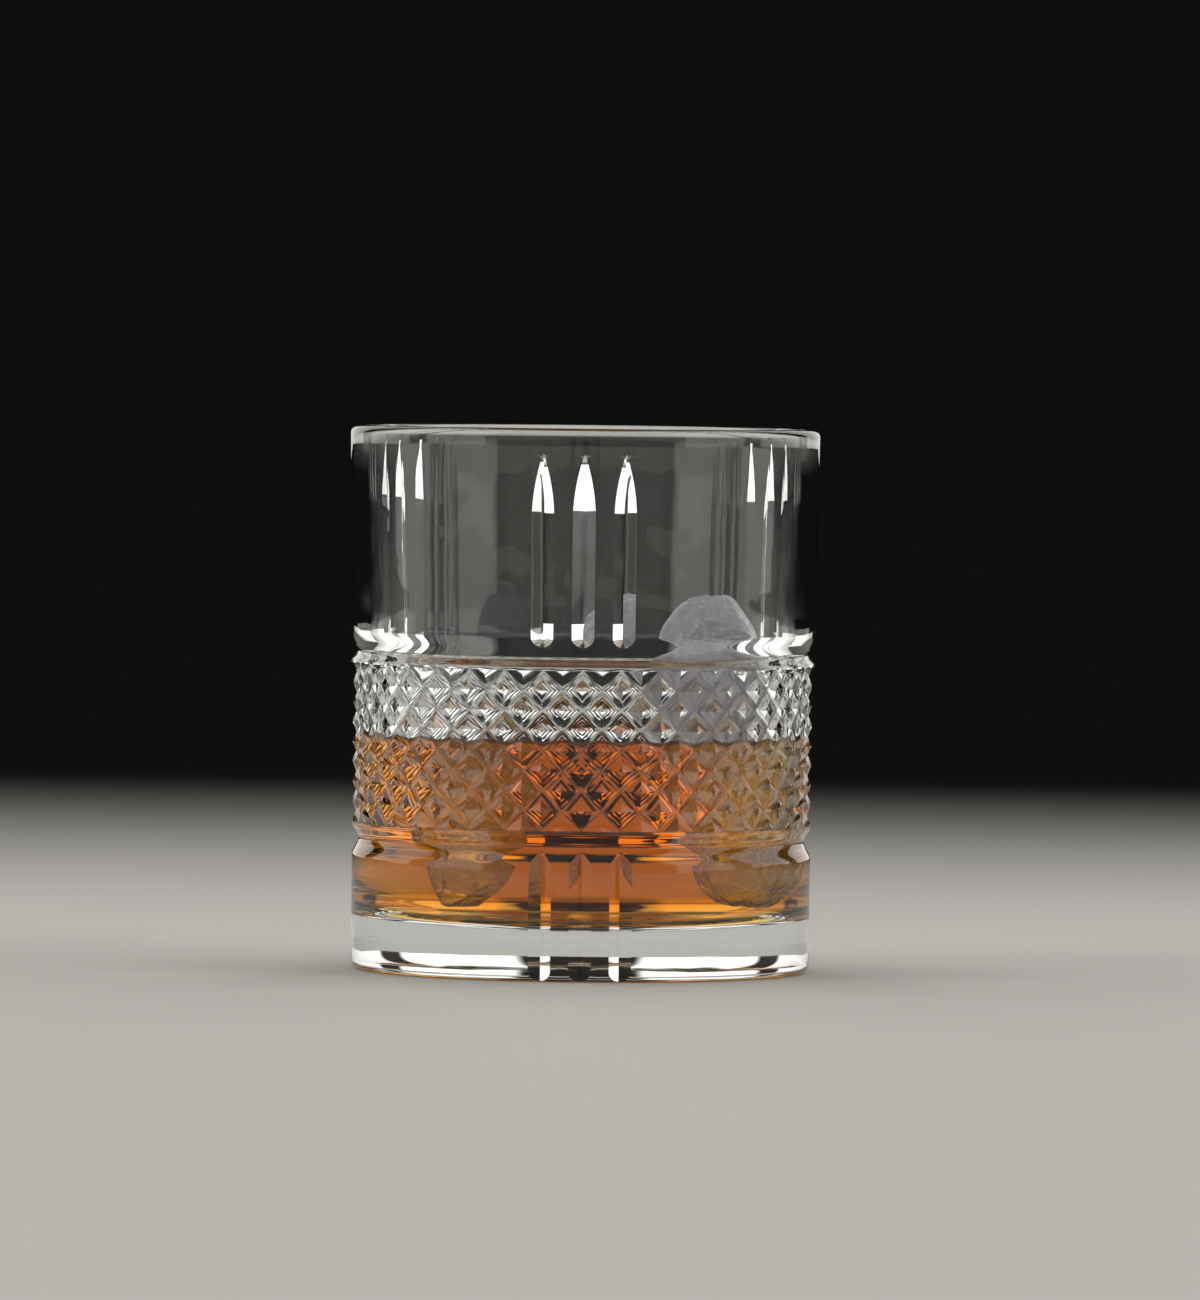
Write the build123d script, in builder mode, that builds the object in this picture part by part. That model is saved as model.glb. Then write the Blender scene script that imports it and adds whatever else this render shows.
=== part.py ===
from build123d import *

import math
import os

# Whiskey tumbler, millimetres, +Z up.  The origin is the centre of the foot, on the
# surface that the tumbler stands on, and -Y is the front.

# ---------------------------------------------------------------- tumbler, outside
height = 97.0  # foot to rim
rim_radius = 42.0  # outside of the glass at the rim
upper_wall_taper = 0.6  # how much narrower the plain upper wall is at its foot
upper_shoulder_height = 3.8  # plain wall's foot above the upper neck
upper_neck_inset = 1.75  # upper neck's radius below the rim's
upper_neck_height = 2.15  # upper neck above the diamond band
top_bead_inset = 0.75
bead_height = 0.45  # plain edge of each bead
diamond_peak_inset = 1.0
groove_depth = 1.4  # diamond peak to groove
diamonds_around = 36
diamond_rows = 4  # full diamonds stacked in a column on the front
diamond_height = 7.014
band_bottom = 26.5
bottom_bead_inset = 1.1
lower_neck_drop = 3.0  # lower neck below the diamond band
lower_neck_inset = 2.25
lower_shoulder_height = 3.1  # base's top edge below the lower neck
base_inset = 1.05
foot_corner = 1.8
foot_ring_width = 4.5
punt_height = 1.2  # rise of the underside's shallow dome
lip_round = 1.2

# ---------------------------------------------------------------- tumbler, inside
wall_at_rim = 3.0
inside_taper = 2.2  # how much narrower the inside is at the floor than at the rim
floor_height = 7.6  # glass under the middle of the floor
floor_dish = 2.6  # rise of the dished floor towards the wall
floor_corner = 8.0

# ---------------------------------------------------------------- cut flutes
flute_groups = 3
flutes_in_group = 3
flute_pitch = 10.0  # degrees
flute_width = 4.0
flute_depth = 1.3
flute_top_margin = 4.3  # tip of the upper flutes below the rim
flute_tip_length = 11.7
flute_foot_above_neck = 3.2  # centre of the upper flute's rounded foot
lower_flute_below_neck = 1.2  # centre of the lower flute's rounded head

# ---------------------------------------------------------------- whisky and ice
whisky_level = 41.3
rock_floor_gap = 0.3  # rock above the glass floor
rock_pocket_clearance = 0.4  # whisky around a rock
rock_corners = (1.0, 0.9, 1.04, 0.93, 0.98, 1.05, 0.9, 0.96)  # radius of each corner

tall_rock_half_width = 12.2
tall_rock_half_depth = 12.0
tall_rock_wall_gap = 2.6  # widest section to the glass wall
tall_rock_forward = -1.0  # its middle in front of (-) or behind (+) the glass's middle
tall_rock_height = 57.5
# share of the height, share of the full width
tall_rock_sections = ((0.0, 0.62), (0.14, 0.82), (0.5, 0.96), (0.78, 1.0), (0.9, 0.72), (1.0, 0.36))

low_rock_half_width = 8.8
low_rock_half_depth = 9.5
low_rock_from_middle = 15.5
low_rock_forward = -3.0
low_rock_height = 34.5
low_rock_sections = ((0.0, 0.72), (0.16, 0.9), (0.93, 1.0), (1.0, 0.7))

# ---------------------------------------------------------------- worked out
band_top = band_bottom + diamond_rows * diamond_height
upper_neck = band_top + upper_neck_height
lower_neck = band_bottom - lower_neck_drop
wall_foot = upper_neck + upper_shoulder_height
base_top = lower_neck - lower_shoulder_height

wall_foot_radius = rim_radius - upper_wall_taper
upper_neck_radius = rim_radius - upper_neck_inset
top_bead_radius = rim_radius - top_bead_inset
peak_radius = rim_radius - diamond_peak_inset
groove_radius = peak_radius - groove_depth
bottom_bead_radius = rim_radius - bottom_bead_inset
lower_neck_radius = rim_radius - lower_neck_inset
base_radius = rim_radius - base_inset
foot_inner_radius = base_radius - foot_corner - foot_ring_width

inside_rim_radius = rim_radius - wall_at_rim
floor_edge_height = floor_height + floor_dish
inside_floor_radius = inside_rim_radius - inside_taper
half_row = diamond_height / 2
row_count = 2 * diamond_rows
band_buried = bead_height / 2  # how far the diamonds' ends run on inside the beads
spare = 5.0  # how far cutting shapes run past what they cut


def inside_radius(z):
    """Radius of the straight inside wall at a height."""
    share = (z - floor_edge_height) / (height - floor_edge_height)
    return inside_floor_radius + share * inside_taper


def floor_at(radius):
    """Height of the dished floor at a distance from the middle."""
    return floor_height + floor_dish * (radius / inside_floor_radius) ** 2


def outside_section():
    """Half section of the outside, solid to the axis, with the diamonds left off."""
    core_radius = groove_radius - band_buried
    dome = (foot_inner_radius / 2, punt_height * 0.75)
    with BuildSketch(Plane.XZ) as half:
        with BuildLine():
            ThreePointArc((0, punt_height), dome, (foot_inner_radius, 0))
            FilletPolyline(
                (foot_inner_radius, 0), (base_radius, 0), (base_radius, base_top - 1), radius=foot_corner
            )
            Line((base_radius, base_top - 1), (base_radius, base_top - 0.5))
            neck_curve((base_radius, base_top - 0.5), (lower_neck_radius, lower_neck))
            neck_curve((lower_neck_radius, lower_neck), (bottom_bead_radius, band_bottom - bead_height))
            Polyline(
                (bottom_bead_radius, band_bottom - bead_height),
                (bottom_bead_radius, band_bottom),
                (core_radius, band_bottom),
                (core_radius, band_top),
                (top_bead_radius, band_top),
                (top_bead_radius, band_top + bead_height),
            )
            neck_curve((top_bead_radius, band_top + bead_height), (upper_neck_radius, upper_neck))
            neck_curve((upper_neck_radius, upper_neck), (wall_foot_radius, wall_foot))
            Polyline((wall_foot_radius, wall_foot), (rim_radius, height), (0, height), (0, punt_height))
        make_face()
    return half.sketch


def neck_curve(start, end):
    """Smooth S from one upright to another, as at the shoulders beside a neck."""
    return Spline(start, end, tangents=((0, 1), (0, 1)))


def inside_section(top):
    """Half section of the space inside the glass, from its floor up to a height."""
    top_radius = inside_radius(top)
    middle = inside_floor_radius / 2
    with BuildSketch(Plane.XZ) as half:
        with BuildLine():
            ThreePointArc((0, floor_height), (middle, floor_at(middle)), (inside_floor_radius, floor_edge_height))
            Polyline((inside_floor_radius, floor_edge_height), (top_radius, top), (0, top), (0, floor_height))
        make_face()
        floor_edge = half.vertices().filter_by(lambda v: v.Y < floor_edge_height + 1 and v.X > middle)
        fillet(floor_edge, radius=floor_corner)
    return half.sketch


def diamond_band():
    """Solid whose side is the diamond field: planar facets between peaks and grooves.

    The field is a grid of points, two to each diamond's pitch around and up.  Points whose
    two counts add up to an odd number are peaks, and the rest lie in the grooves.
    """
    around = 2 * diamonds_around
    step = 2 * math.pi / around

    def point(i, j):
        z = band_bottom + half_row * j
        if j < 0:
            z, j = band_bottom - band_buried, 0
        if j > row_count:
            z, j = band_top + band_buried, row_count
        radius = peak_radius if (i + j) % 2 else groove_radius
        turn = -math.pi / 2 + step * (i % around)
        return Vector(radius * math.cos(turn), radius * math.sin(turn), z)

    def facet(*corners):
        return Face(Wire.make_polygon(corners, close=True))

    faces = []
    for i in range(around):
        for j in range(row_count):
            low, right = point(i, j), point(i + 1, j)
            up, across = point(i, j + 1), point(i + 1, j + 1)
            if (i + j) % 2:
                faces += [facet(low, right, up), facet(right, across, up)]
            else:
                faces += [facet(low, right, across), facet(low, across, up)]
        for j in (-1, row_count):
            faces.append(facet(point(i, j), point(i + 1, j), point(i + 1, j + 1), point(i, j + 1)))
    for j in (-1, row_count + 1):
        faces.append(facet(*[point(i, j) for i in range(around)]))
    return Solid(Shell(faces))


def flute_angles():
    """Turn of every flute about the axis, in degrees from the front."""
    middle = (flutes_in_group - 1) / 2
    return [
        360 / flute_groups * group + flute_pitch * (k - middle)
        for group in range(flute_groups)
        for k in range(flutes_in_group)
    ]


def vee_sketch(apex_plane):
    """Triangle with its apex on the plane's origin, opening along the plane's local Y."""
    half_width = flute_width / 2
    reach = spare / flute_depth
    with BuildSketch(apex_plane) as vee:
        with BuildLine():
            Polyline(
                (0, 0), (half_width * reach, spare), (-half_width * reach, spare), close=True
            )
        make_face()
    return vee.sketch


def flute_end(radius, z):
    """Cone that rounds off the end of a V cut whose valley stops at a point."""
    reach = spare / flute_depth
    with BuildPart() as end:
        with Locations(Location((radius + spare / 2, 0, z), (0, 90, 0))):
            Cone(bottom_radius=0, top_radius=flute_width / 2 * reach, height=spare)
    return end.part


def upper_flute():
    """Cutter of an upper flute, lying on +X: straight, rounded foot, long curved tip."""
    foot = upper_neck + flute_foot_above_neck
    tip_start = height - flute_top_margin - flute_tip_length
    tip_radius = (flute_tip_length**2 + flute_depth**2) / (2 * flute_depth)
    valley = wall_foot_radius - flute_depth
    lean = upper_wall_taper / (height - wall_foot)
    start = Vector(valley, 0, foot)
    bend = Vector(valley + lean * (tip_start - foot), 0, tip_start)
    run_out = math.asin(min(1.0, flute_tip_length * 1.15 / tip_radius))
    along = Vector(lean, 0, 1).normalized()
    outward = Vector(1, 0, -lean).normalized()
    middle = bend + along * (tip_radius * math.sin(run_out / 2)) + outward * (
        tip_radius * (1 - math.cos(run_out / 2))
    )
    end = bend + along * (tip_radius * math.sin(run_out)) + outward * (tip_radius * (1 - math.cos(run_out)))
    with BuildPart() as cutter:
        with BuildLine() as path:
            Line(start, bend)
            ThreePointArc(bend, middle, end)
        add(vee_sketch(Plane(origin=start, x_dir=(0, -1, 0), z_dir=along)).faces()[0])
        sweep(path=path.wires()[0])
        add(flute_end(valley, foot))
    return cutter.part


def lower_flute():
    """Cutter of a lower flute, lying on +X: it runs off the bottom of the base."""
    head = lower_neck - lower_flute_below_neck
    valley = base_radius - flute_depth
    with BuildPart() as cutter:
        vee = vee_sketch(Plane(origin=(valley, 0, -1), x_dir=(0, -1, 0), z_dir=(0, 0, 1)))
        extrude(vee, amount=head + 1)
        add(flute_end(valley, head))
    return cutter.part


def rock_sketch(rock, z, share, extra=0.0):
    """Irregular eight-cornered section of a rock at a height, grown by an extra."""
    half_width = rock["half_width"] * share + extra
    half_depth = rock["half_depth"] * share + extra
    step = 2 * math.pi / len(rock_corners)
    corners = [
        (half_width * r * math.cos(step * (k + 0.5)), half_depth * r * math.sin(step * (k + 0.5)))
        for k, r in enumerate(rock_corners)
    ]
    with BuildSketch(Plane.XY.offset(z)) as section:
        with Locations(rock["middle"]):
            Polygon(*corners, align=None)
    return section.sketch


def rock_heights(rock):
    """Height and width share of each section, from the rock's bottom up."""
    return [(rock["bottom"] + rock["height"] * up, share) for up, share in rock["sections"]]


def rock_solid(rock):
    """Faceted rock lofted through its sections."""
    with BuildPart() as solid:
        loft([rock_sketch(rock, z, share).face() for z, share in rock_heights(rock)], ruled=True)
    return solid.part


def pocket_solid(rock):
    """Room for a rock in the whisky, open upwards so that the rock lifts straight out."""
    levels = rock_heights(rock)
    widest = max(share for _, share in levels)
    growing = levels[: [share for _, share in levels].index(widest) + 1]
    room = [rock_sketch(rock, z, share, rock_pocket_clearance) for z, share in growing]
    with BuildPart() as pocket:
        loft([section.face() for section in room], ruled=True)
        extrude(room[0], amount=-floor_dish)
        extrude(room[-1], amount=whisky_level)
    return pocket.part


def rock_bottom(distance, share, half_width):
    """Height at which a rock's foot, that far from the middle, clears the dished floor."""
    return floor_at(distance + share * half_width) + rock_floor_gap


tall_rock_at = inside_radius(floor_edge_height + 0.75 * tall_rock_height)
tall_rock_at -= tall_rock_wall_gap + tall_rock_half_width
tall_rock = {
    "middle": (tall_rock_at, tall_rock_forward),
    "bottom": rock_bottom(tall_rock_at, tall_rock_sections[0][1], tall_rock_half_width),
    "half_width": tall_rock_half_width,
    "half_depth": tall_rock_half_depth,
    "height": tall_rock_height,
    "sections": tall_rock_sections,
}
low_rock = {
    "middle": (-low_rock_from_middle, low_rock_forward),
    "bottom": rock_bottom(low_rock_from_middle, low_rock_sections[0][1], low_rock_half_width),
    "half_width": low_rock_half_width,
    "half_depth": low_rock_half_depth,
    "height": low_rock_height,
    "sections": low_rock_sections,
}

os.makedirs("parts", exist_ok=True)

with BuildPart() as tumbler:
    add(outside_section())
    revolve(axis=Axis.Z)
    add(diamond_band())
    add(inside_section(height + spare))
    revolve(axis=Axis.Z, mode=Mode.SUBTRACT)
    fillet(tumbler.edges().filter_by(GeomType.CIRCLE).group_by(Axis.Z)[-1], radius=lip_round)
    for angle in flute_angles():
        for cutter in (upper_flute(), lower_flute()):
            add(cutter.rotate(Axis.Z, angle - 90), mode=Mode.SUBTRACT)
tumbler.part.label = "tumbler"
export_step(tumbler.part, "parts/tumbler.step")

with BuildPart() as whisky:
    add(inside_section(whisky_level))
    revolve(axis=Axis.Z)
    for rock in (tall_rock, low_rock):
        add(pocket_solid(rock), mode=Mode.SUBTRACT)
whisky.part.label = "whisky"
export_step(whisky.part, "parts/whisky.step")

with BuildPart() as ice_rock_tall:
    add(rock_solid(tall_rock))
ice_rock_tall.part.label = "ice_rock_tall"
export_step(ice_rock_tall.part, "parts/ice_rock_tall.step")

with BuildPart() as ice_rock_low:
    add(rock_solid(low_rock))
ice_rock_low.part.label = "ice_rock_low"
export_step(ice_rock_low.part, "parts/ice_rock_low.step")
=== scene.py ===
"""Whiskey tumbler of pressed glass with whisky and two rough lumps of ice.

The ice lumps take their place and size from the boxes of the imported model's nodes.  The
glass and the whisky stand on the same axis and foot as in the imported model, and their sizes
are the same numbers as the CAD source's, written out in Tumbler and Drink.  Lengths named
*_mm are millimetres, and meshes are in metres.  The front of the glass is -Y, and +Z is up.
"""

import logging
import math
from dataclasses import dataclass, field
from enum import Enum

import bmesh
import bpy
import numpy as np
from mathutils import Matrix, Vector

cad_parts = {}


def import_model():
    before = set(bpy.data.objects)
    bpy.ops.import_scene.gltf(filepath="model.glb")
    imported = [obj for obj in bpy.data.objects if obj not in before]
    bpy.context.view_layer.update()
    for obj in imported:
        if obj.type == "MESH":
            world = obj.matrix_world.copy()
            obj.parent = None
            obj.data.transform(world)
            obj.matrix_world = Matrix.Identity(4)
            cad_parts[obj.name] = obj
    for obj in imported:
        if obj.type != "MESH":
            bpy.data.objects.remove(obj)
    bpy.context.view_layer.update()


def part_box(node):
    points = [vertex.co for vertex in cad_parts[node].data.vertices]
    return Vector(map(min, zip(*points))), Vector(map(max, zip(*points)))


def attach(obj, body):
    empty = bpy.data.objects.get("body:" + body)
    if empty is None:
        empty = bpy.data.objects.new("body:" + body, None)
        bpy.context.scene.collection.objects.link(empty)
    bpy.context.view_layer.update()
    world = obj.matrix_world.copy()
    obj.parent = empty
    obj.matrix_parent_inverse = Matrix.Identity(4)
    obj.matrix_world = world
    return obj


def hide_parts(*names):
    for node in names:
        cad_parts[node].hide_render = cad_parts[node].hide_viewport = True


LOG = logging.getLogger("whiskey_tumbler")
MM = 0.001
FRONT = -math.pi / 2
MERGE_DISTANCE = 2e-6


# ---------------------------------------------------------------- shared helpers
class Tone(Enum):
    """Colours of the finishes, as sRGB hex."""

    GLASS = "#FCFEFE"
    ICE = "#E9E6EE"
    ICE_VEIN = "#B4ACB8"
    # Painted shade: the near black that the floor is painted with behind the object.
    FLOOR = "#DCDBD8"
    PAINTED_FLOOR_SHADE = "#151514"
    SOFTBOX = "#FFFCF7"


def linear(tone: Tone) -> tuple:
    """Turn an sRGB hex colour into linear RGBA.

    Args:
        tone: The colour.

    Returns:
        Four numbers, red, green, blue and alpha.
    """
    text = tone.value.lstrip("#")
    srgb = np.array([int(text[k : k + 2], 16) for k in (0, 2, 4)]) / 255
    rgb = np.where(srgb <= 0.04045, srgb / 12.92, ((srgb + 0.055) / 1.055) ** 2.4)
    return (*rgb.tolist(), 1.0)


def add_node(tree: bpy.types.NodeTree, kind: str, links: dict = None, **settings) -> bpy.types.Node:
    """Add one shader node with its settings, socket values and links.

    Args:
        tree: The node tree to add to.
        kind: Blender's name of the node type.
        links: Input name or index to a number, a colour or another node's output.
        settings: Attributes of the node, such as operation="MULTIPLY".

    Returns:
        The new node.
    """
    node = tree.nodes.new(kind)
    for name, value in settings.items():
        setattr(node, name, value)
    for name, value in (links or {}).items():
        if isinstance(value, bpy.types.NodeSocket):
            tree.links.new(value, node.inputs[name])
        else:
            node.inputs[name].default_value = value
    return node


def new_material(name: str) -> tuple:
    """Make an empty node material.

    Args:
        name: The material's name.

    Returns:
        The material, its tree and its output node.
    """
    material = bpy.data.materials.new(name)
    material.use_nodes = True
    tree = material.node_tree
    tree.nodes.clear()
    return material, tree, add_node(tree, "ShaderNodeOutputMaterial")


def make_object(
    name: str, points: np.ndarray, faces: np.ndarray, smooth: np.ndarray = None
) -> bpy.types.Object:
    """Make a mesh object at the origin from triangles.

    Args:
        name: The piece's name.
        points: Array (n, 3) of places in millimetres.
        faces: Array (m, 3) of corner numbers, facing outwards.
        smooth: Array (m,) of True where a face is shaded smooth; all are, if left out.

    Returns:
        The object, linked to the scene.
    """
    mesh = bpy.data.meshes.new(name)
    mesh.vertices.add(len(points))
    mesh.vertices.foreach_set("co", (points * MM).astype(np.float32).ravel())
    mesh.loops.add(faces.size)
    mesh.loops.foreach_set("vertex_index", faces.astype(np.int32).ravel())
    mesh.polygons.add(len(faces))
    mesh.polygons.foreach_set("loop_start", np.arange(0, faces.size, 3, dtype=np.int32))
    mesh.update(calc_edges=True)
    shade = np.ones(len(faces), bool) if smooth is None else smooth
    mesh.polygons.foreach_set("use_smooth", shade)
    mesh.update()
    piece = bpy.data.objects.new(name, mesh)
    bpy.context.scene.collection.objects.link(piece)
    return piece


def even_turns(count: int, start: float = 0.0) -> np.ndarray:
    """Evenly spaced turns about the axis, in radians.

    Args:
        count: Number of turns.
        start: The first turn.

    Returns:
        Array (count,) of turns.
    """
    return start + 2 * np.pi * np.arange(count) / count


def turned(profile: np.ndarray, turns: np.ndarray) -> np.ndarray:
    """Turn a profile about the axis: x = r cos a, y = r sin a and z stays.

    Args:
        profile: Array (n, 2) of radius and height.
        turns: Array (m,) of turns in radians.

    Returns:
        Array (n, m, 3) of places.
    """
    radius, z = profile[:, :1], profile[:, 1:]
    grid = turns[None, :] + 0 * radius
    return np.stack([radius * np.cos(grid), radius * np.sin(grid), z + 0 * grid], -1)


def fan(tip: int, ring: int, count: int, downward: bool) -> np.ndarray:
    """Triangles from a middle point to a closed ring.

    Args:
        tip: Number of the middle point.
        ring: Number of the ring's first point.
        count: Points in the ring.
        downward: True if the triangles face down, and False if they face up.

    Returns:
        Array of triangles.
    """
    k = np.arange(count)
    after = (k + 1) % count
    order = (ring + after, ring + k) if downward else (ring + k, ring + after)
    return np.stack([np.full(count, tip), *order], 1)


def ring_strip(first: int, second: int, count: int) -> np.ndarray:
    """Triangles between two closed rings of as many points, first below or inside second.

    Args:
        first: Number of the first ring's first point.
        second: Number of the second ring's first point.
        count: Points in each ring.

    Returns:
        Array of triangles.
    """
    k = np.arange(count)
    after = (k + 1) % count
    a, b, c, d = first + k, first + after, second + after, second + k
    return np.concatenate([np.stack([a, b, c], 1), np.stack([a, c, d], 1)])


def zip_rings(low_turns: np.ndarray, high_turns: np.ndarray, low: int, high: int) -> np.ndarray:
    """Triangles between two closed rings whose points stand at different turns.

    The turns of both rings are merged in order, and each step along one ring makes a
    triangle with the point reached on the other.

    Args:
        low_turns: Rising turns of the lower ring's points, starting near the upper's.
        high_turns: Rising turns of the upper ring's points.
        low: Number of the lower ring's first point.
        high: Number of the upper ring's first point.

    Returns:
        Array of triangles.
    """
    low_end = np.append(low_turns[1:], low_turns[0] + 2 * np.pi)
    high_end = np.append(high_turns[1:], high_turns[0] + 2 * np.pi)
    order = np.argsort(np.concatenate([low_end, high_end]), kind="stable")
    is_low = order < len(low_end)
    at_low = np.concatenate([[0], np.cumsum(is_low)[:-1]])
    at_high = np.concatenate([[0], np.cumsum(~is_low)[:-1]])
    nl, nh = len(low_turns), len(high_turns)
    low_tri = np.stack([low + at_low % nl, low + (at_low + 1) % nl, high + at_high % nh], 1)
    high_tri = np.stack([low + at_low % nl, high + (at_high + 1) % nh, high + at_high % nh], 1)
    return np.where(is_low[:, None], low_tri, high_tri)


def s_curve(start: tuple, end: tuple, count: int) -> np.ndarray:
    """Points of a smooth S, upright at both ends: radius follows 3t^2 - 2t^3 over the height.

    Args:
        start: Radius and height of the first point.
        end: Radius and height of the last point.
        count: Number of points.

    Returns:
        Array (count, 2) of radius and height.
    """
    t = np.linspace(0, 1, count)
    eased = t * t * (3 - 2 * t)
    return np.stack([start[0] + (end[0] - start[0]) * eased, start[1] + (end[1] - start[1]) * t], 1)


def corner_arc(centre: tuple, radius: float, start: float, end: float, count: int) -> np.ndarray:
    """Points of an arc in the radius and height plane: centre + radius * (cos, sin).

    Args:
        centre: Radius and height of the arc's centre.
        radius: The arc's own radius.
        start: First turn in degrees, from outwards.
        end: Last turn in degrees.
        count: Number of points.

    Returns:
        Array (count, 2) of radius and height.
    """
    turn = np.radians(np.linspace(start, end, count))
    return np.stack([centre[0] + radius * np.cos(turn), centre[1] + radius * np.sin(turn)], 1)


def lattice_noise(points: np.ndarray, scale: float, seed: int) -> np.ndarray:
    """Smooth noise from -1 to 1: random values on a unit lattice, eased between its corners.

    Args:
        points: Array (n, 3) of places.
        scale: Size of one lattice cell, in the places' unit.
        seed: Seed of the random values.

    Returns:
        Array (n,) of values.
    """
    side = 24
    table = np.random.default_rng(seed).uniform(-1, 1, (side, side, side))
    place = points / scale + side * 8
    cell = np.floor(place).astype(int)
    part = place - cell
    part = part * part * (3 - 2 * part)
    total = np.zeros(len(points))
    for corner in np.ndindex(2, 2, 2):
        index = (cell + corner) % side
        weight = np.prod(np.where(corner, part, 1 - part), axis=1)
        total += weight * table[index[:, 0], index[:, 1], index[:, 2]]
    return total


# ---------------------------------------------------------------- finishes
@dataclass(frozen=True)
class PressedGlass:
    """Fire-polished soda-lime glass: clear and very smooth, with a faint ripple left by the mould."""

    ior: float = 1.52
    ripple_mm: float = 9.0
    ripple_strength: float = 0.05
    ripple_depth_mm: float = 0.6

    def make(self) -> bpy.types.Material:
        """Make the material.

        Returns:
            The glass.
        """
        material, tree, out = new_material("pressed_soda_lime_glass")
        place = add_node(tree, "ShaderNodeTexCoord").outputs["Object"]
        ripple = add_node(
            tree, "ShaderNodeTexNoise", {"Vector": place, "Scale": 1 / (self.ripple_mm * MM), "Detail": 1.0}
        )
        bump = add_node(
            tree,
            "ShaderNodeBump",
            {
                "Height": ripple.outputs["Fac"],
                "Strength": self.ripple_strength,
                "Distance": self.ripple_depth_mm * MM,
            },
        )
        glass = add_node(
            tree,
            "ShaderNodeBsdfPrincipled",
            {
                "Base Color": linear(Tone.GLASS),
                "Roughness": 0.0,
                "IOR": self.ior,
                "Transmission Weight": 1.0,
                "Normal": bump.outputs["Normal"],
            },
        )
        tree.links.new(glass.outputs["BSDF"], out.inputs["Surface"])
        return material


@dataclass(frozen=True)
class Whisky:
    """Forty per cent spirit, coloured by the cask: yellow where thin and deep orange where thick."""

    ior: float = 1.36
    density: float = 100.0
    red: float = 0.972
    green: float = 0.76
    blue: float = 0.10

    def make(self) -> bpy.types.Material:
        """Make the material: a clear surface, and absorption that grows with the depth.

        Returns:
            The whisky.
        """
        material, tree, out = new_material("cask_aged_whisky")
        place = add_node(tree, "ShaderNodeTexCoord").outputs["Object"]
        legs = add_node(tree, "ShaderNodeTexNoise", {"Vector": place, "Scale": 1 / (14 * MM), "Detail": 0.0})
        bump = add_node(
            tree, "ShaderNodeBump", {"Height": legs.outputs["Fac"], "Strength": 0.04, "Distance": 0.0005}
        )
        spirit = add_node(
            tree,
            "ShaderNodeBsdfPrincipled",
            {
                "Base Color": (1, 1, 1, 1),
                "Roughness": 0.0,
                "IOR": self.ior,
                "Transmission Weight": 1.0,
                "Normal": bump.outputs["Normal"],
            },
        )
        depth = add_node(
            tree,
            "ShaderNodeVolumeAbsorption",
            {"Color": (self.red, self.green, self.blue, 1), "Density": self.density},
        )
        tree.links.new(spirit.outputs["BSDF"], out.inputs["Surface"])
        tree.links.new(depth.outputs["Volume"], out.inputs["Volume"])
        return material


@dataclass(frozen=True)
class RoughIce:
    """Hand-chipped ice with crystal grain and veins: clear where wet, and milky above the drink."""

    ior: float = 1.31
    grain_mm: float = 1.3
    vein_mm: float = 5.0
    wet_below_mm: float = 42.0
    roughness: tuple = (0.05, 0.30)

    def make(self) -> bpy.types.Material:
        """Make the material: the share of clear ice falls above the wet part and with the grain.

        Returns:
            The ice.
        """
        material, tree, out = new_material("chipped_ice")
        place = add_node(tree, "ShaderNodeTexCoord").outputs["Object"]
        grain = add_node(
            tree, "ShaderNodeTexNoise", {"Vector": place, "Scale": 1 / (self.grain_mm * MM), "Detail": 6.0}
        )
        vein = add_node(
            tree,
            "ShaderNodeTexVoronoi",
            {"Vector": place, "Scale": 1 / (self.vein_mm * MM)},
            feature="DISTANCE_TO_EDGE",
        )
        crease = add_node(
            tree,
            "ShaderNodeMapRange",
            {"Value": vein.outputs["Distance"], "From Max": 0.12, "To Min": 1.0, "To Max": 0.0},
        )
        tint = add_node(tree, "ShaderNodeMix", data_type="RGBA")
        tree.links.new(grain.outputs["Fac"], tint.inputs["Factor"])
        tint.inputs["A"].default_value = linear(Tone.ICE_VEIN)
        tint.inputs["B"].default_value = linear(Tone.ICE)
        rough = add_node(
            tree,
            "ShaderNodeMapRange",
            {
                "Value": grain.outputs["Fac"],
                "From Min": 0.35,
                "From Max": 0.65,
                "To Min": self.roughness[0],
                "To Max": self.roughness[1],
            },
        )
        height_above = add_node(tree, "ShaderNodeSeparateXYZ", {"Vector": place})
        frosted = add_node(
            tree,
            "ShaderNodeMapRange",
            {
                "Value": height_above.outputs["Z"],
                "From Min": (self.wet_below_mm - 1) * MM,
                "From Max": (self.wet_below_mm + 4) * MM,
                "To Min": 1.0,
                "To Max": 0.35,
            },
        )
        milk = add_node(
            tree,
            "ShaderNodeMapRange",
            {"Value": grain.outputs["Fac"], "From Min": 0.4, "From Max": 0.62, "To Min": 1.0, "To Max": 0.94},
        )
        clear = add_node(
            tree,
            "ShaderNodeMath",
            {0: milk.outputs["Result"], 1: frosted.outputs["Result"]},
            operation="MULTIPLY",
        )
        height = add_node(
            tree, "ShaderNodeMath", {0: grain.outputs["Fac"], 1: crease.outputs["Result"]}, operation="ADD"
        )
        bump = add_node(
            tree, "ShaderNodeBump", {"Height": height.outputs["Value"], "Strength": 0.55, "Distance": 0.0005}
        )
        ice = add_node(
            tree,
            "ShaderNodeBsdfPrincipled",
            {
                "Base Color": tint.outputs["Result"],
                "Roughness": rough.outputs["Result"],
                "IOR": self.ior,
                "Transmission Weight": clear.outputs["Value"],
                "Normal": bump.outputs["Normal"],
            },
        )
        tree.links.new(ice.outputs["BSDF"], out.inputs["Surface"])
        return material


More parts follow.
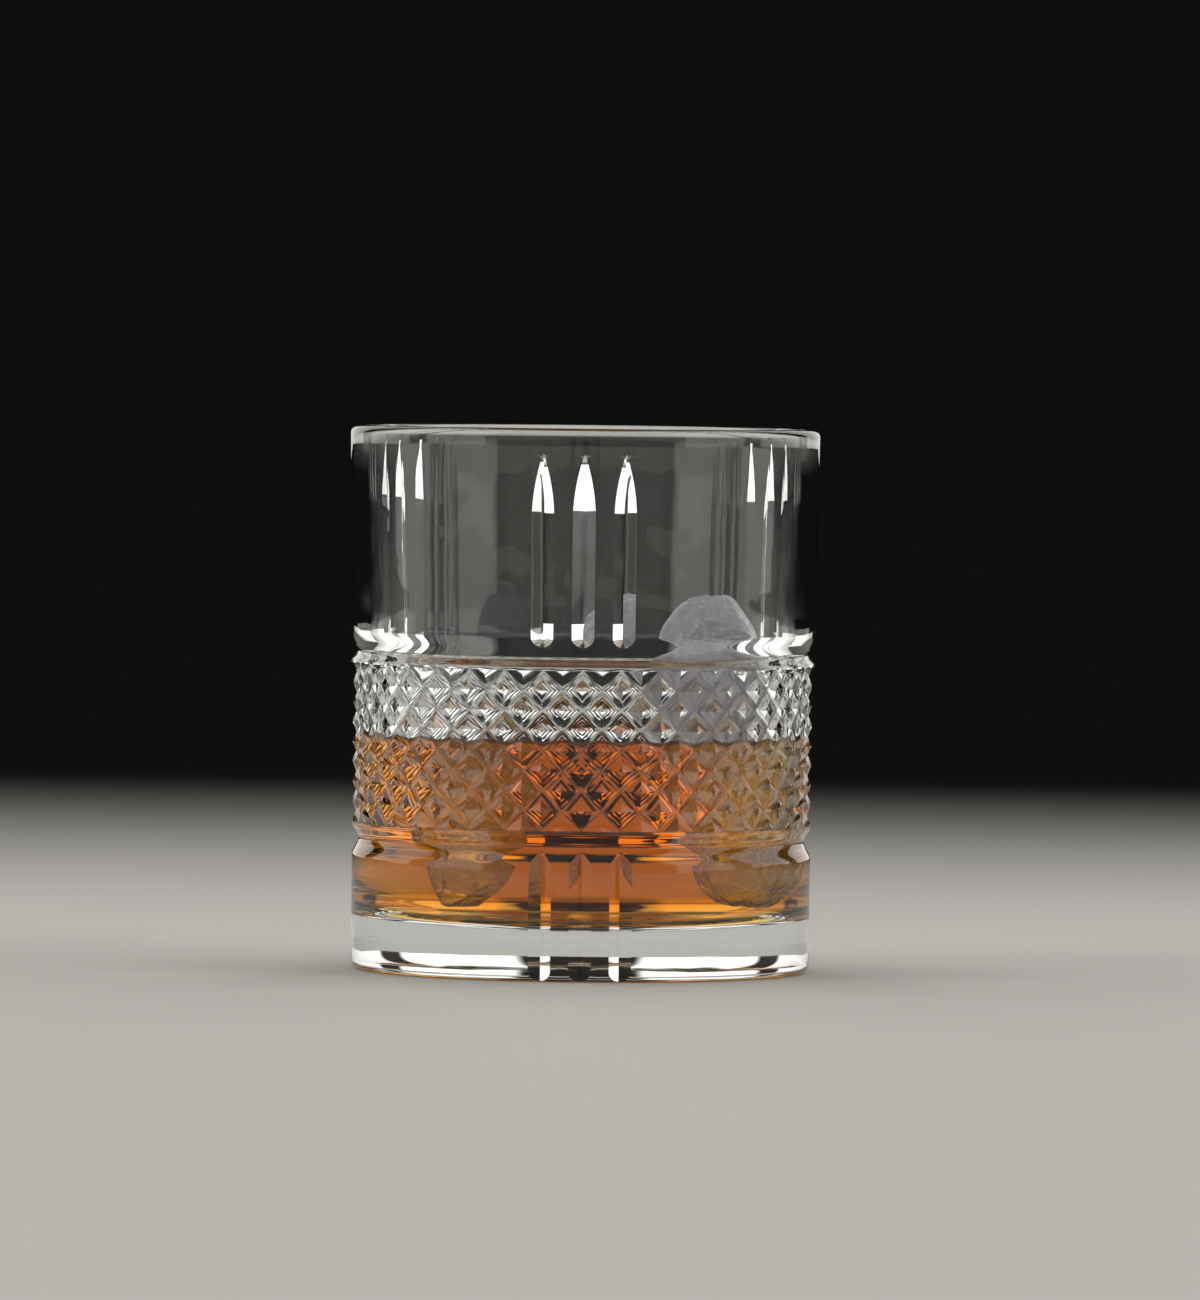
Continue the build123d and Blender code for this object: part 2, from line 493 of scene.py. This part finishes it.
# ---------------------------------------------------------------- the tumbler
@dataclass
class Tumbler:
    """The glass: one closed surface from the underside's middle, over the rim, to the floor's middle."""

    height_mm: float = 97.0
    rim_radius_mm: float = 41.98
    wall_foot: tuple = (41.4, 60.5)
    upper_neck: tuple = (40.25, 56.71)
    top_bead_mm: float = 41.25
    bead_height_mm: float = 0.45
    peak_radius_mm: float = 41.0
    groove_depth_mm: float = 1.4
    groove_raise_mm: float = 0.09
    groove_share: float = 0.085
    diamonds_around: int = 36
    half_rows: int = 8
    half_row_mm: float = 3.507
    band_bottom_mm: float = 26.5
    bottom_bead_mm: float = 40.9
    lower_neck: tuple = (39.75, 23.5)
    base_radius_mm: float = 40.95
    base_top_mm: float = 20.2
    foot_corner_mm: float = 1.8
    foot_inner_mm: float = 34.65
    punt_mm: float = 1.2
    lip_mm: float = 1.45
    inside_rim_mm: float = 39.0
    inside_floor: tuple = (36.8, 10.2)
    floor_mm: float = 7.6
    flute_width_mm: float = 4.0
    flute_depth_mm: float = 1.3
    flute_tip_mm: float = 92.7
    flute_tip_length_mm: float = 11.7
    upper_flute_foot_mm: float = 59.9
    lower_flute_head_mm: float = 22.3
    columns: int = 360
    inside_columns: int = 180
    turns: np.ndarray = field(init=False)

    def __post_init__(self) -> None:
        """Work out the even turns of the plain rings, starting at the front."""
        self.turns = even_turns(self.columns, FRONT)

    # ---- profiles -------------------------------------------------
    def inside_radius(self, z: np.ndarray) -> np.ndarray:
        """Radius of the straight inside wall at heights in millimetres."""
        radius, low = self.inside_floor
        return radius + (z - low) / (self.height_mm - low) * (self.inside_rim_mm - radius)

    def under_profile(self) -> np.ndarray:
        """Underside and base, from next to the middle out and up to the band's lower edge."""
        dome_r = np.linspace(2.5, self.foot_inner_mm, 9)
        dome = np.stack([dome_r, self.punt_mm * (1 - (dome_r / self.foot_inner_mm) ** 2)], 1)
        centre = (self.base_radius_mm - self.foot_corner_mm, self.foot_corner_mm)
        corner = corner_arc(centre, self.foot_corner_mm, -90, 0, 9)
        wall_z = np.linspace(self.foot_corner_mm, self.base_top_mm, 9)[1:-1]
        wall = np.stack([np.full(len(wall_z), self.base_radius_mm), wall_z], 1)
        shoulder = s_curve((self.base_radius_mm, self.base_top_mm), self.lower_neck, 14)
        flare_top = (self.bottom_bead_mm, self.band_bottom_mm - self.bead_height_mm)
        flare = s_curve(self.lower_neck, flare_top, 12)[1:]
        bead = [(self.bottom_bead_mm, self.band_bottom_mm - 0.12)]
        return np.concatenate([dome, corner, wall, shoulder, flare, bead])

    def upper_profile(self) -> np.ndarray:
        """Top bead, neck, plain wall and lip, from the band's upper edge to the lip's inner side."""
        band_top = self.band_bottom_mm + self.half_rows * self.half_row_mm
        bead = [(self.top_bead_mm, band_top + 0.12)]
        flare = s_curve((self.top_bead_mm, band_top + self.bead_height_mm), self.upper_neck, 10)
        shoulder = s_curve(self.upper_neck, self.wall_foot, 14)[1:]
        lip_z = self.height_mm - self.lip_mm
        tip_start = self.flute_tip_mm - self.flute_tip_length_mm
        z = np.concatenate(
            [
                np.linspace(self.wall_foot[1], tip_start, 8)[1:],
                np.linspace(tip_start, self.flute_tip_mm, 14)[1:],
                [self.flute_tip_mm + 0.8, lip_z],
            ]
        )
        share = (z - self.wall_foot[1]) / (self.height_mm - self.wall_foot[1])
        wall = np.stack([self.wall_foot[0] + share * (self.rim_radius_mm - self.wall_foot[0]), z], 1)
        lip = corner_arc((wall[-1, 0] - self.lip_mm, lip_z), self.lip_mm, 0, 180, 15)[1:]
        return np.concatenate([bead, flare, shoulder, wall, lip])

    def inside_profile(self) -> np.ndarray:
        """Inside wall, rounded corner and dished floor, from below the lip to next to the middle."""
        z = np.linspace(self.height_mm - 3.0, self.floor_mm + 11, 12)
        wall = np.stack([self.inside_radius(z), z], 1)
        floor_r = np.linspace(self.inside_floor[0] - 9.0, 2.0, 10)
        rise = self.inside_floor[1] - self.floor_mm
        floor = np.stack([floor_r, self.floor_mm + rise * (floor_r / self.inside_floor[0]) ** 2], 1)
        t = np.linspace(0, 1, 14)[1:-1, None]
        knee = np.array([[self.inside_floor[0], self.floor_mm + 2.0]])
        corner = (1 - t) ** 2 * wall[-1] + 2 * t * (1 - t) * knee + t**2 * floor[0]
        return np.concatenate([wall, corner, floor])

    # ---- flutes ---------------------------------------------------
    def valley(self, z: np.ndarray) -> tuple:
        """Valley radius of a flute at each height, and how far past its rounded end that is.

        The upper flute's valley follows the wall and lifts out along a wide arc at the
        tip: lift = d^2 / (2 R), with R chosen so that it reaches the surface at the tip.
        """
        wheel = self.flute_tip_length_mm**2 / (2 * self.flute_depth_mm)
        past_bend = np.maximum(0, z - (self.flute_tip_mm - self.flute_tip_length_mm))
        rise = (z - self.wall_foot[1]) / (self.height_mm - self.wall_foot[1])
        wall = self.wall_foot[0] + rise * (self.rim_radius_mm - self.wall_foot[0])
        upper = wall - self.flute_depth_mm + past_bend**2 / (2 * wheel)
        lower = np.full_like(z, self.base_radius_mm - self.flute_depth_mm)
        is_upper = z > self.band_bottom_mm
        past = np.where(is_upper, self.upper_flute_foot_mm - z, z - self.lower_flute_head_mm)
        return np.where(is_upper, upper, lower), np.maximum(0, past)

    def fluted_rings(self, profile: np.ndarray) -> np.ndarray:
        """Rings of the outside with the nine V flutes cut in.

        Each ring's columns are drawn towards the flutes' edges: of the five columns on
        each side of a flute's middle, three lie in it.  In a flute the radius is
        (v + k (rho - x)) / (cos a - k sin a), a flat V facet, where a is the turn from the
        flute's middle, v the valley, k the slope, x = v tan a and rho the distance from
        the middle of a rounded end.

        Args:
            profile: Array (n, 2) of radius and height.

        Returns:
            Array (n, columns, 3) of places.
        """
        radius, z = profile[:, :1], profile[:, 1:]
        valley, past = self.valley(z)
        slope = self.flute_depth_mm / (self.flute_width_mm / 2)
        room = (radius - valley) / slope
        half = np.sqrt(np.maximum(0, room * np.abs(room) - past**2))
        edge = np.degrees(half / radius)
        cut = edge > 1e-4
        edge = np.where(cut, np.maximum(edge, 0.05), 3.0)
        base = np.degrees(self.turns - self.turns[0])
        near = (base + 60) % 120 - 60
        middle = np.clip(np.round(near / 10), -1, 1) * 10
        offset = near - middle
        inside = np.abs(offset) <= 3
        beside = (np.abs(offset) <= 5) & ~inside
        warped = np.where(inside, np.abs(offset) * edge / 3, np.abs(offset))
        warped = np.where(beside, edge + (np.abs(offset) - 3) * (5 - edge) / 2, warped)
        turn = self.turns + np.radians(np.sign(offset) * warped - offset)
        angle = np.radians(np.minimum(warped, 20))
        across = valley * np.tan(angle)
        rho = np.sqrt(across**2 + past**2)
        facet = (valley + slope * (rho - across)) / (np.cos(angle) - slope * np.sin(angle))
        depth = np.where(inside & cut, np.minimum(facet, radius), radius)
        return np.stack([depth * np.cos(turn), depth * np.sin(turn), z + 0 * depth], -1)

    # ---- diamonds -------------------------------------------------
    def diamond_field(self, first: int) -> tuple:
        """The band of pyramids, each of four flat facets with a rounded groove strip below.

        Points lie on a lattice two to a diamond around and up.  Where the two counts add
        up to an odd number is an apex.  A facet runs from the apex to its two corners,
        and its last share, along the groove, is a flatter strip.

        Args:
            first: Number that the first point will have.

        Returns:
            Points, triangles, which triangles are smooth, and the bottom and top
            outlines as pairs of point numbers and turns.
        """
        around = 2 * self.diamonds_around
        i, j = np.meshgrid(np.arange(around), np.arange(self.half_rows + 1), indexing="ij")
        apex = (i + j) % 2 == 1
        groove = self.peak_radius_mm - self.groove_depth_mm
        near = 1 - self.groove_share
        strip_radius = groove + self.groove_share * self.groove_depth_mm
        count = i.size

        def place(u: np.ndarray, v: np.ndarray, radius: np.ndarray) -> np.ndarray:
            """Lattice place to x, y and z."""
            turn = -np.pi / 2 + 2 * np.pi * u / around
            z = self.band_bottom_mm + self.half_row_mm * v
            return np.stack([radius * np.cos(turn), radius * np.sin(turn), z + 0 * radius], -1)

        corner_r = np.where(apex, self.peak_radius_mm, groove + self.groove_raise_mm)
        points = [place(i, j, corner_r).reshape(-1, 3)]
        for du, dv in ((1, 0), (-1, 0), (0, 1), (0, -1)):
            strip = place(i + near * du, j + near * dv, np.full(i.shape, strip_radius))
            points.append(strip.reshape(-1, 3))
        node = np.arange(count).reshape(i.shape)
        triangles, smooth = [], []
        for side, du in ((1, 1), (2, -1)):
            for pole, dv in ((3, 1), (4, -1)):
                use = apex & (j + dv >= 0) & (j + dv <= self.half_rows)
                a = node[use]
                h = node[(i[use] + du) % around, j[use]]
                v = node[i[use], j[use] + dv]
                h_near, v_near = a + side * count, a + pole * count
                parts = [(a, h_near, v_near), (h_near, h, v), (h_near, v, v_near)]
                for k, part in enumerate(parts):
                    order = part if du * dv > 0 else part[::-1]
                    triangles.append(np.stack(order, 1))
                    smooth.append(np.full(len(a), k > 0))
        outlines = []
        for row in (0, self.half_rows):
            tops = node[:, row][apex[:, row]]
            u = i[:, row][apex[:, row]].astype(float)
            dips = node[(i[:, row][apex[:, row]] + 1) % around, row]
            after = (u + 2) % around
            next_top = node[after.astype(int), row]
            numbers = np.stack([tops, tops + count, dips, next_top + 2 * count], 1).ravel()
            turns = (u[:, None] + np.array([0, near, 1, 2 - near])).ravel()
            outlines.append((first + numbers, -np.pi / 2 + 2 * np.pi * turns / around))
        faces = first + np.concatenate(triangles)
        return np.concatenate(points), faces, np.concatenate(smooth), outlines

    # ---- the piece ------------------------------------------------
    def build(self, finish: bpy.types.Material) -> bpy.types.Object:
        """Join the surfaces into one closed mesh.

        Args:
            finish: The glass.

        Returns:
            The piece.
        """
        under, upper = self.fluted_rings(self.under_profile()), self.fluted_rings(self.upper_profile())
        inside = self.inside_profile()
        inside_turns = even_turns(self.inside_columns, FRONT)
        inside_rings = turned(inside, inside_turns)
        n, m = self.columns, self.inside_columns
        points = [np.array([[0, 0, self.punt_mm]]), under.reshape(-1, 3), upper.reshape(-1, 3)]
        points += [inside_rings.reshape(-1, 3), np.array([[0, 0, self.floor_mm]])]
        under_at = 1
        upper_at = under_at + under.shape[0] * n
        inside_at = upper_at + upper.shape[0] * n
        floor_at = inside_at + inside_rings.shape[0] * m
        faces = [fan(0, under_at, n, True)]
        faces += [ring_strip(under_at + k * n, under_at + (k + 1) * n, n) for k in range(under.shape[0] - 1)]
        faces += [ring_strip(upper_at + k * n, upper_at + (k + 1) * n, n) for k in range(upper.shape[0] - 1)]
        last = upper_at + (upper.shape[0] - 1) * n
        faces.append(zip_rings(self.turns, inside_turns, last, inside_at))
        strips = range(inside_rings.shape[0] - 1)
        faces += [ring_strip(inside_at + k * m, inside_at + (k + 1) * m, m) for k in strips]
        faces.append(fan(floor_at, inside_at + (inside_rings.shape[0] - 1) * m, m, False))
        field_points, field_faces, field_smooth, outlines = self.diamond_field(floor_at + 1)
        points.append(field_points)
        below = under_at + (under.shape[0] - 1) * n
        faces.append(self.sew(self.turns, below, *outlines[0], field_below=False))
        faces.append(self.sew(self.turns, upper_at, *outlines[1], field_below=True))
        plain = np.concatenate(faces)
        everything = np.concatenate([plain, field_faces])
        smooth = np.concatenate([np.ones(len(plain), bool), field_smooth])
        piece = make_object("tumbler_glass", np.concatenate(points), everything, smooth)
        clean_up(piece)
        piece.data.set_sharp_from_angle(angle=math.radians(24))
        piece.data.materials.append(finish)
        return piece

    @staticmethod
    def sew(
        turns: np.ndarray, ring: int, numbers: np.ndarray, field_turns: np.ndarray, field_below: bool
    ) -> np.ndarray:
        """Sew a plain ring to the outline of the diamond field.

        Args:
            turns: Turns of the plain ring.
            ring: Number of its first point.
            numbers: Point numbers of the field's outline.
            field_turns: Their turns.
            field_below: True at the band's upper edge.

        Returns:
            Array of triangles.
        """
        order = np.argsort((field_turns - turns[0]) % (2 * np.pi))
        sorted_turns = turns[0] + np.sort((field_turns - turns[0]) % (2 * np.pi))
        outline, mark = numbers[order], 10**7
        if field_below:
            faces = zip_rings(sorted_turns, turns, mark, ring)
        else:
            faces = zip_rings(turns, sorted_turns, ring, mark)
        marked = faces >= mark
        faces[marked] = outline[faces[marked] - mark]
        return faces


def clean_up(piece: bpy.types.Object) -> None:
    """Merge doubled points, drop loose ones and make the faces point outwards."""
    work = bmesh.new()
    work.from_mesh(piece.data)
    bmesh.ops.remove_doubles(work, verts=work.verts, dist=MERGE_DISTANCE)
    bmesh.ops.delete(work, geom=[v for v in work.verts if not v.link_faces], context="VERTS")
    bmesh.ops.recalc_face_normals(work, faces=work.faces)
    work.to_mesh(piece.data)
    work.free()
    LOG.info("%s cleaned, %d points", piece.name, len(piece.data.vertices))


# ---------------------------------------------------------------- ice
@dataclass
class IceRock:
    """A chipped lump of ice: a rounded block flattened by random planes, then roughened."""

    node: str
    seed: int
    chips: int = 26
    chip_reach: tuple = (0.74, 0.93)
    softness: float = 30.0
    bumps: tuple = ((0.018, 0.30), (0.012, 0.11), (0.010, 0.05))
    top_shift_mm: float = 0.0
    shift_from: float = 0.7

    def build(self, finish: bpy.types.Material) -> bpy.types.Object:
        """Stretch the chipped block to its node's box, with the taper of `width_share`.

        Args:
            finish: The ice.

        Returns:
            The piece.
        """
        low, high = (np.array(c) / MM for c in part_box(self.node))
        ways, faces = self.directions()
        shape = ways * self.chipped_radius(ways)[:, None]
        shape -= (shape.max(0) + shape.min(0)) / 2
        shape /= (shape.max(0) - shape.min(0)) / 2
        size = (high - low) / 2
        rise = (shape[:, 2] + 1) / 2
        share = self.width_share(rise)
        places = np.stack(
            [
                shape[:, 0] * share * size[0] + self.top_shift_mm * np.maximum(0, rise - self.shift_from),
                shape[:, 1] * share * size[1],
                shape[:, 2] * size[2],
            ],
            1,
        )
        places += (low + high) / 2
        piece = make_object(self.node + "_lump", places, faces.reshape(-1, 3))
        piece.data.materials.append(finish)
        return piece

    @staticmethod
    def directions() -> tuple:
        """Evenly spread directions, and the triangles between them.

        Returns:
            Array (n, 3) of unit directions, and a flat array of corner numbers.
        """
        work = bmesh.new()
        bmesh.ops.create_icosphere(work, subdivisions=6, radius=1.0)
        work.verts.ensure_lookup_table()
        mesh = bpy.data.meshes.new("ball")
        work.to_mesh(mesh)
        work.free()
        ways = np.empty(len(mesh.vertices) * 3)
        mesh.vertices.foreach_get("co", ways)
        ways = ways.reshape(-1, 3)
        ways /= np.linalg.norm(ways, axis=1, keepdims=True)
        faces = np.empty(len(mesh.polygons) * 3, np.int32)
        mesh.polygons.foreach_get("vertices", faces)
        bpy.data.meshes.remove(mesh)
        return ways, faces

    def chipped_radius(self, ways: np.ndarray) -> np.ndarray:
        """Radius in each direction: the least of a rounded block's and of random planes'.

        The block's is (|x|^5 + |y|^5 + |z|^5)^(-1/5), and a plane's is its distance over
        the cosine to its normal.  A soft minimum, -log(sum of exp(-s r)) / s, joins them,
        and noise of three sizes, the depth and size pairs in `bumps`, roughens the result.

        Args:
            ways: Array (n, 3) of unit directions.

        Returns:
            Array (n,) of radii.
        """
        rng = np.random.default_rng(self.seed)
        normals = rng.normal(size=(self.chips, 3))
        normals /= np.linalg.norm(normals, axis=1, keepdims=True)
        reach = (np.abs(normals) ** 1.25).sum(1) ** 0.8 * rng.uniform(*self.chip_reach, self.chips)
        planes = reach / np.maximum(ways @ normals.T, 0.05)
        block = (np.abs(ways) ** 5).sum(1) ** -0.2
        every = np.concatenate([planes, block[:, None]], axis=1)
        radius = -np.log(np.exp(-self.softness * every).sum(1)) / self.softness
        coarse, medium, fine = (
            depth * lattice_noise(ways, size, self.seed + 1 + k) for k, (depth, size) in enumerate(self.bumps)
        )
        radius += coarse + medium
        return radius + np.abs(fine)

    @staticmethod
    def width_share(rise: np.ndarray) -> np.ndarray:
        """Width share over the height: narrower at the foot, full at the shoulder, drawn in at the top."""
        return np.interp(rise, (0.0, 0.14, 0.5, 0.8, 0.9, 1.0), (0.74, 0.86, 0.97, 1.0, 0.9, 0.62))


# ---------------------------------------------------------------- whisky
@dataclass
class Drink:
    """The whisky: fills the glass to its level, with a raised edge at the wall and a hollow for each lump."""

    level_mm: float = 41.3
    overlap_mm: float = 0.05
    meniscus_mm: float = 0.9
    meniscus_reach_mm: float = 2.2
    columns: int = 180

    def build(self, glass: Tumbler, lumps: list, finish: bpy.types.Material) -> bpy.types.Object:
        """Turn the profile round and cut the lumps out of it.

        The surface stands at level + m * exp(-4 d / reach) at a distance d from the wall.
        The side lies just inside the glass, so that light bends as from glass to whisky.

        Args:
            glass: The tumbler, for its inside.
            lumps: The ice pieces.
            finish: The whisky.

        Returns:
            The piece.
        """
        inside = glass.inside_profile()
        side = inside[inside[:, 1] < self.level_mm - 1.0][::-1].copy()
        top_z = self.level_mm + self.meniscus_mm
        wall_z = np.linspace(self.level_mm - 0.8, top_z, 5)
        wall = np.stack([glass.inside_radius(wall_z), wall_z], 1)
        side = np.concatenate([side, wall])
        side[:, 0] += self.overlap_mm
        side[:, 1] -= np.where(side[:, 1] < 14, self.overlap_mm, 0)
        gap = np.concatenate([np.linspace(0.12, self.meniscus_reach_mm, 8), np.linspace(4, 34, 11)])
        wall_radius = float(glass.inside_radius(np.array(top_z)))
        lift = self.meniscus_mm * np.exp(-4 * gap / self.meniscus_reach_mm)
        top = np.stack([wall_radius - gap, self.level_mm + lift], 1)
        profile = np.concatenate([side, top])
        n = self.columns
        ring = turned(profile, even_turns(n)).reshape(-1, 3)
        low_tip = np.array([[0, 0, glass.floor_mm - self.overlap_mm]])
        points = np.concatenate([low_tip, ring, np.array([[0, 0, self.level_mm]])])
        faces = [fan(0, 1, n, True)]
        faces += [ring_strip(1 + k * n, 1 + (k + 1) * n, n) for k in range(len(profile) - 1)]
        faces.append(fan(len(points) - 1, 1 + (len(profile) - 1) * n, n, False))
        piece = make_object("whisky_fill", points, np.concatenate(faces))
        clean_up(piece)
        for lump in lumps:
            self.hollow(piece, lump)
        piece.data.set_sharp_from_angle(angle=math.radians(50))
        piece.data.materials.clear()
        piece.data.materials.append(finish)
        return piece

    def hollow(self, piece: bpy.types.Object, lump: bpy.types.Object) -> None:
        """Cut a lump out of the whisky, a hair smaller than the lump itself."""
        cutter = lump.copy()
        cutter.data = lump.data.copy()
        bpy.context.scene.collection.objects.link(cutter)
        mesh = cutter.data
        places = np.empty(len(mesh.vertices) * 3)
        mesh.vertices.foreach_get("co", places)
        places = places.reshape(-1, 3)
        normals = np.empty(len(mesh.vertices) * 3)
        mesh.vertices.foreach_get("normal", normals)
        places -= normals.reshape(-1, 3) * self.overlap_mm * MM
        mesh.vertices.foreach_set("co", places.ravel())
        mesh.update()
        cut = piece.modifiers.new("hollow", "BOOLEAN")
        cut.operation, cut.solver, cut.object = "DIFFERENCE", "EXACT", cutter
        bpy.context.view_layer.update()
        shaped = piece.evaluated_get(bpy.context.evaluated_depsgraph_get())
        result = bpy.data.meshes.new_from_object(shaped)
        piece.modifiers.remove(cut)
        piece.data = result
        bpy.data.objects.remove(cutter)


# ---------------------------------------------------------------- studio
@dataclass
class Studio:
    """Pale floor with painted shade that darkens it behind the object, soft panels behind and beside the
    object with dark gaps between, and the camera.
    """

    floor_radius: float = 6.0
    painted_shade_from: float = 0.12
    painted_shade_full_at: float = 0.9
    panel_light: float = 1.35
    top_light: float = 1.1
    dark_light: float = 0.0045
    panels: tuple = ((10.5, 40.0), (50.0, 84.0), (96.0, 130.0))
    panel_foot: float = -2.0
    panel_top: float = 52.0
    top_from: float = 64.0
    distance: float = 2.132
    camera_height: float = 0.117
    aim_height: float = 0.0572
    side: float = 0.003
    roll: float = 0.65
    lens: float = 331.0

    def floor(self) -> None:
        """Make the floor: a pale matt sheet with painted shade that darkens it behind the object."""
        count = 96
        radii = np.array([0.3, 1.0, 2.5, self.floor_radius]) / MM
        flat = np.stack([radii, np.zeros(len(radii))], 1)
        points = np.concatenate([[[0, 0, 0]], turned(flat, even_turns(count)).reshape(-1, 3)])
        faces = [fan(0, 1, count, False)]
        faces += [ring_strip(1 + (k + 1) * count, 1 + k * count, count) for k in range(len(radii) - 1)]
        floor = make_object("floor", points, np.concatenate(faces))
        material, tree, out = new_material("matt_pale_floor_with_painted_shade")
        place = add_node(tree, "ShaderNodeTexCoord").outputs["Object"]
        reach = add_node(tree, "ShaderNodeSeparateXYZ", {"Vector": place})
        # Painted shade: the floor's colour goes from pale to near black further behind the object, standing
        # in for the darkness there.
        painted_shade_fade = add_node(
            tree,
            "ShaderNodeMapRange",
            {"Value": reach.outputs["Y"], "From Min": self.painted_shade_from, "From Max": self.painted_shade_full_at},
            interpolation_type="SMOOTHSTEP",
        )
        tone = add_node(tree, "ShaderNodeMix", data_type="RGBA")
        tree.links.new(painted_shade_fade.outputs["Result"], tone.inputs["Factor"])
        tone.inputs["A"].default_value = linear(Tone.FLOOR)
        tone.inputs["B"].default_value = linear(Tone.PAINTED_FLOOR_SHADE)
        matt = add_node(tree, "ShaderNodeBsdfDiffuse", {"Color": tone.outputs["Result"]})
        tree.links.new(matt.outputs["BSDF"], out.inputs["Surface"])
        floor.data.materials.append(material)

    def world(self) -> None:
        """Make the surroundings: tall soft panels, a soft one above, and dark between.

        The turn is atan2(|x|, y), so 0 degrees is behind the object and both sides match.
        """
        world = bpy.data.worlds.new("studio")
        bpy.context.scene.world = world
        world.use_nodes = True
        tree = world.node_tree
        tree.nodes.clear()
        way = add_node(tree, "ShaderNodeTexCoord").outputs["Generated"]
        part = add_node(tree, "ShaderNodeSeparateXYZ", {"Vector": way})
        sideways = add_node(tree, "ShaderNodeMath", {0: part.outputs["X"]}, operation="ABSOLUTE")
        turn = add_node(
            tree, "ShaderNodeMath", {0: sideways.outputs["Value"], 1: part.outputs["Y"]}, operation="ARCTAN2"
        )
        turn_deg = add_node(tree, "ShaderNodeMath", {0: turn.outputs["Value"]}, operation="DEGREES")
        rise = add_node(tree, "ShaderNodeMath", {0: part.outputs["Z"]}, operation="ARCSINE")
        rise_deg = add_node(tree, "ShaderNodeMath", {0: rise.outputs["Value"]}, operation="DEGREES")
        total = None
        for start, end in self.panels:
            inside = self.between(tree, turn_deg.outputs["Value"], start, end, 2.5)
            total = inside if total is None else self.combine(tree, total, inside, "ADD")
        upright = self.between(tree, rise_deg.outputs["Value"], self.panel_foot, self.panel_top, 4.0)
        total = self.combine(tree, total, upright, "MULTIPLY")
        total = self.combine(tree, total, self.panel_light, "MULTIPLY")
        above = self.between(tree, rise_deg.outputs["Value"], self.top_from, 120, 6.0)
        above = self.combine(tree, above, self.top_light, "MULTIPLY")
        total = self.combine(tree, total, above, "ADD")
        total = self.combine(tree, total, self.dark_light, "ADD")
        light = add_node(tree, "ShaderNodeBackground", {"Color": linear(Tone.SOFTBOX), "Strength": total})
        out = add_node(tree, "ShaderNodeOutputWorld")
        tree.links.new(light.outputs["Background"], out.inputs["Surface"])

    @staticmethod
    def between(
        tree: bpy.types.NodeTree, value: bpy.types.NodeSocket, start: float, end: float, soft: float
    ) -> bpy.types.NodeSocket:
        """Make a value that is 1 between two limits and 0 beyond, with soft edges.

        Args:
            tree: The node tree.
            value: The angle in degrees.
            start: Lower limit.
            end: Upper limit.
            soft: Width of each edge, in degrees.

        Returns:
            The value's socket.
        """
        up = add_node(
            tree,
            "ShaderNodeMapRange",
            {"Value": value, "From Min": start - soft / 2, "From Max": start + soft / 2},
            interpolation_type="SMOOTHSTEP",
        )
        down = add_node(
            tree,
            "ShaderNodeMapRange",
            {
                "Value": value,
                "From Min": end - soft / 2,
                "From Max": end + soft / 2,
                "To Min": 1.0,
                "To Max": 0.0,
            },
            interpolation_type="SMOOTHSTEP",
        )
        return Studio.combine(tree, up.outputs["Result"], down.outputs["Result"], "MULTIPLY")

    @staticmethod
    def combine(tree: bpy.types.NodeTree, first, second, operation: str) -> bpy.types.NodeSocket:
        """Join two values by a sum or a product."""
        return add_node(tree, "ShaderNodeMath", {0: first, 1: second}, operation=operation).outputs["Value"]

    def camera(self) -> None:
        """Place the camera: far in front, a little above the rim, with a long lens."""
        data = bpy.data.cameras.new("camera")
        data.lens = self.lens
        data.sensor_width = 36.0
        data.clip_end = 50.0
        camera = bpy.data.objects.new("camera", data)
        bpy.context.scene.collection.objects.link(camera)
        spot = Vector((self.side, -self.distance, self.camera_height))
        look = Vector((self.side, 0, self.aim_height)) - spot
        turn = look.to_track_quat("-Z", "Y").to_matrix().to_4x4()
        roll = Matrix.Rotation(math.radians(self.roll), 4, "Z")
        camera.matrix_world = Matrix.Translation(spot) @ turn @ roll
        bpy.context.scene.camera = camera

    def build(self) -> None:
        """Make the whole studio."""
        self.floor()
        self.world()
        self.camera()
        bpy.context.scene.view_settings.view_transform = "Standard"


def settle(piece: bpy.types.Object, body: str, node: str) -> None:
    """Hand a finished piece to the frame.

    Args:
        piece: The piece.
        body: The body it rides on.
        node: The CAD node it stands for.
    """
    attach(piece, body)
    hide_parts(node)
    LOG.info("%s rides on %s with %d triangles", piece.name, body, len(piece.data.polygons))


def main() -> None:
    """Load the frame, then build the studio, the glass, the ice and the whisky."""
    logging.basicConfig(level=logging.INFO, format="%(name)s: %(message)s")
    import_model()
    Studio().build()
    glass, ice = Tumbler(), RoughIce().make()
    settle(glass.build(PressedGlass().make()), "tumbler", "tumbler")
    tall = IceRock("ice_rock_tall", seed=11, top_shift_mm=-1.0).build(ice)
    low = IceRock("ice_rock_low", seed=23).build(ice)
    settle(Drink().build(glass, [tall, low], Whisky().make()), "tumbler", "whisky")
    settle(tall, "ice_rock_tall", "ice_rock_tall")
    settle(low, "ice_rock_low", "ice_rock_low")


if __name__ == "__main__":
    main()
